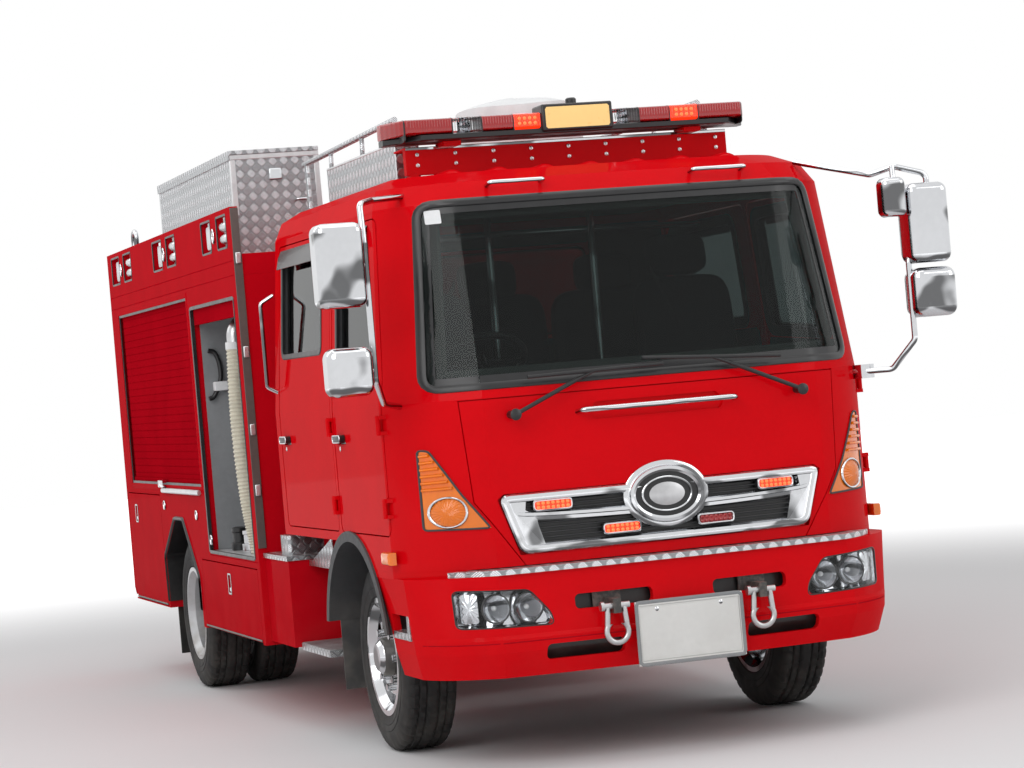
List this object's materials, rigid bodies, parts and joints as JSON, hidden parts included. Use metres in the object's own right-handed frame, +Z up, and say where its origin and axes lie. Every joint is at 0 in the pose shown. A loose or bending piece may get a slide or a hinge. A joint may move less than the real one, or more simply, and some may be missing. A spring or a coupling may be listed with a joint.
{
  "type": "fire engine",
  "caption": "Cab-over fire engine with a double cab, a pump body with side lockers, a roof box and a light bar; it rolls, steers and its doors open",
  "frame": {"origin": "on the ground, midway between the front shackles and the rear bumper, on the centre plane", "axes": "-Y is forward, +X is the vehicle's left side, +Z is up"},
  "size_m": [2.815, 6.864, 2.9163],
  "materials": {
    "red_paint": "gloss",
    "red_shutter": "satin",
    "chassis_black": "satin",
    "glass": "gloss",
    "chrome": "polished",
    "silver_wheel": "satin",
    "dark_plastic": "matte",
    "black_plastic": "satin",
    "amber_lens": "gloss",
    "clear_lens": "gloss",
    "red_lens": "gloss",
    "tread_plate": "bright",
    "plate": "satin",
    "bare_steel": "satin",
    "seat_fabric": "matte",
    "hose_rubber": "satin",
    "cover_white": "matte",
    "tyre": "matte"
  },
  "bodies": {
    "chassis": {"body_base": "red_paint", "body_deck": "red_paint", "body_lockers": "red_paint", "cab_base": "red_paint", "cab_glass": "glass", "cab_pillars": "red_paint", "cab_roof": "red_paint", "cab_steps": "tread_plate", "dashboard": "dark_plastic", "deck_fence": "tread_plate", "frame": "chassis_black", "front_axle": "chassis_black", "front_bumper": "red_paint", "front_liners": "dark_plastic", "front_panel": "red_paint", "grille": "chrome", "grille_mesh": "dark_plastic", "headlamps": "clear_lens", "lightbar": "red_lens", "lightbar_beam": "red_paint", "mirrors": "chrome", "monitor": "cover_white", "number_plate": "plate", "powertrain": "chassis_black", "rear_axle": "chassis_black", "roof_box": "tread_plate", "roof_grips": "chrome", "seats": "seat_fabric", "shackles": "bare_steel", "shutters": "red_shutter", "suction_hose": "hose_rubber", "tail_lamps": "red_lens", "tail_step": "tread_plate", "tread_strip": "tread_plate", "turn_lamps": "amber_lens", "wipers": "black_plastic"},
    "flap_left": {"flap_left": "red_paint"},
    "flap_right": {"flap_right": "red_paint"},
    "front_door_left": {"front_door_glass_left": "glass", "front_door_left": "red_paint"},
    "front_door_right": {"front_door_glass_right": "glass", "front_door_right": "red_paint"},
    "front_wheel_left": {"front_rim_left": "chrome", "front_tyre_left": "tyre"},
    "front_wheel_right": {"front_rim_right": "chrome", "front_tyre_right": "tyre"},
    "hatch_left": {"hatch_left": "red_paint"},
    "hatch_right": {"hatch_right": "red_paint"},
    "knuckle_left": {"knuckle_left": "chassis_black"},
    "knuckle_right": {"knuckle_right": "chassis_black"},
    "rear_door_left": {"rear_door_glass_left": "glass", "rear_door_left": "red_paint"},
    "rear_door_right": {"rear_door_glass_right": "glass", "rear_door_right": "red_paint"},
    "rear_wheels_left": {"rear_rims_left": "silver_wheel", "rear_tyres_left": "tyre"},
    "rear_wheels_right": {"rear_rims_right": "silver_wheel", "rear_tyres_right": "tyre"},
    "roof_lid": {"roof_box_lid": "tread_plate"},
    "steering": {"steering_wheel": "black_plastic"}
  },
  "joints": [
    {"name": "steer_left", "type": "hinge", "parent": "chassis", "child": "knuckle_left", "pos_m": [0.77, -2.113, 0.42], "axis": [0, 0, 1], "range_deg": [-35, 35]},
    {"name": "steer_right", "type": "hinge", "parent": "chassis", "child": "knuckle_right", "pos_m": [-0.77, -2.113, 0.42], "axis": [0, 0, 1], "range_deg": [-35, 35]},
    {"name": "front_spin_left", "type": "hinge", "parent": "knuckle_left", "child": "front_wheel_left", "pos_m": [0.871, -2.113, 0.42], "axis": [1, 0, 0], "continuous": true},
    {"name": "rear_spin_left", "type": "hinge", "parent": "chassis", "child": "rear_wheels_left", "pos_m": [0.84, 1.677, 0.42], "axis": [1, 0, 0], "continuous": true},
    {"name": "front_door_hinge_left", "type": "hinge", "parent": "chassis", "child": "front_door_left", "pos_m": [1.0975, -2.82, 1.275], "axis": [0, 0, -1], "range_deg": [0, 70]},
    {"name": "rear_door_hinge_left", "type": "hinge", "parent": "chassis", "child": "rear_door_left", "pos_m": [1.0975, -1.925, 1.275], "axis": [0, 0, -1], "range_deg": [0, 75]},
    {"name": "flap_hinge_left", "type": "hinge", "parent": "chassis", "child": "flap_left", "pos_m": [1.15, 0.355, 0.392], "axis": [0, 1, 0], "range_deg": [0, 90]},
    {"name": "hatch_hinge_left", "type": "hinge", "parent": "chassis", "child": "hatch_left", "pos_m": [1.15, 2.225, 0.767], "axis": [0, 0, -1], "range_deg": [0, 100]},
    {"name": "front_spin_right", "type": "hinge", "parent": "knuckle_right", "child": "front_wheel_right", "pos_m": [-0.871, -2.113, 0.42], "axis": [1, 0, 0], "continuous": true},
    {"name": "rear_spin_right", "type": "hinge", "parent": "chassis", "child": "rear_wheels_right", "pos_m": [-0.84, 1.677, 0.42], "axis": [1, 0, 0], "continuous": true},
    {"name": "front_door_hinge_right", "type": "hinge", "parent": "chassis", "child": "front_door_right", "pos_m": [-1.0975, -2.82, 1.275], "axis": [0, 0, 1], "range_deg": [0, 70]},
    {"name": "rear_door_hinge_right", "type": "hinge", "parent": "chassis", "child": "rear_door_right", "pos_m": [-1.0975, -1.925, 1.275], "axis": [0, 0, 1], "range_deg": [0, 75]},
    {"name": "flap_hinge_right", "type": "hinge", "parent": "chassis", "child": "flap_right", "pos_m": [-1.15, 0.355, 0.392], "axis": [0, -1, 0], "range_deg": [0, 90]},
    {"name": "hatch_hinge_right", "type": "hinge", "parent": "chassis", "child": "hatch_right", "pos_m": [-1.15, 2.225, 0.767], "axis": [0, 0, 1], "range_deg": [0, 100]},
    {"name": "roof_lid_hinge", "type": "hinge", "parent": "chassis", "child": "roof_lid", "pos_m": [-0.47, 1.448, 2.8963], "axis": [0, 1, 0], "range_deg": [0, 95]},
    {"name": "steering_turn", "type": "hinge", "parent": "chassis", "child": "steering", "pos_m": [-0.6, -2.805, 1.42], "axis": [0, 0.5299, 0.848], "range_deg": [-525, 525]}
  ],
  "couplings": [
    {"joint": "steer_right", "follows": "steer_left", "ratio": 1},
    {"joint": "steering_turn", "follows": "steer_left", "ratio": 15}
  ]
}
